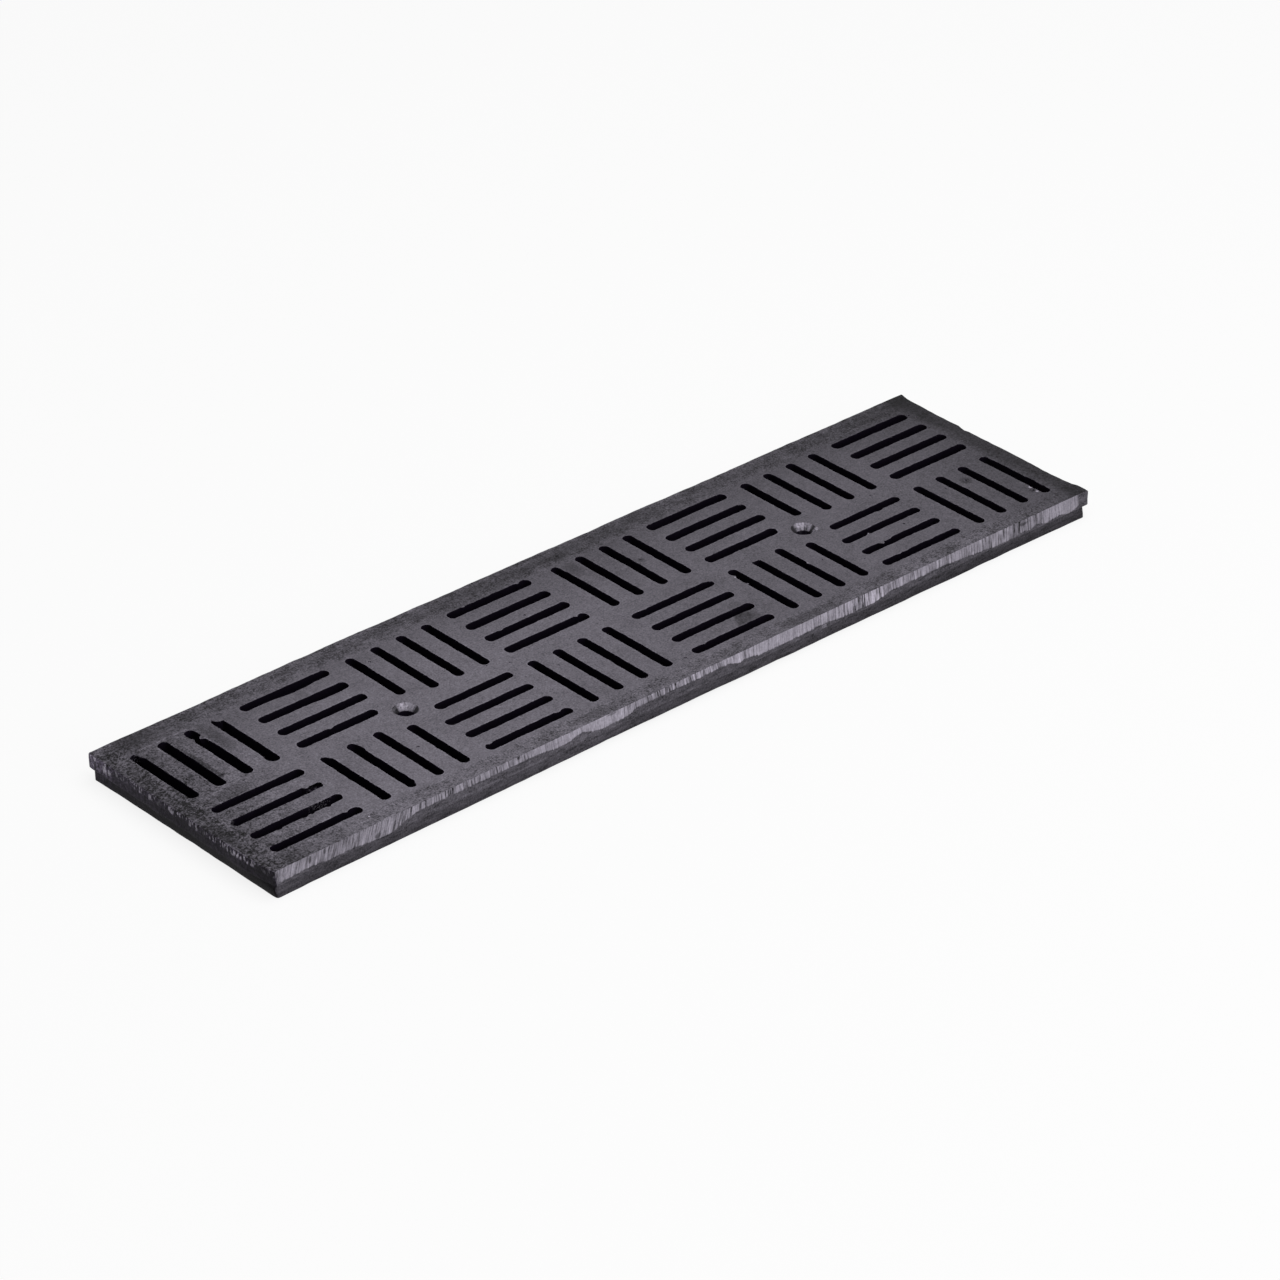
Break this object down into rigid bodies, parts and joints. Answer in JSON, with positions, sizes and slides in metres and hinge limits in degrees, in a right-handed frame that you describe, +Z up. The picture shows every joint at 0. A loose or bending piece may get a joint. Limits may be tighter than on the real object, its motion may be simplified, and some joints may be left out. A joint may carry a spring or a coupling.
{
  "type": "channel drain grate",
  "caption": "Cast iron grate for a narrow drain channel, with drafted slots in a basket-weave pattern, a ribbed underside and countersunk screw holes.",
  "frame": {"origin": "centre of the footprint, at the foot of the skirt", "axes": "+X along the channel, +Y across it, +Z up out of the walking surface"},
  "size_m": [0.5, 0.13, 0.015],
  "materials": {
    "cast_iron": "as-cast grey with faint pitting, one long edge ground bright"
  },
  "bodies": {
    "root": {"grate": "cast_iron"}
  },
  "joints": []
}
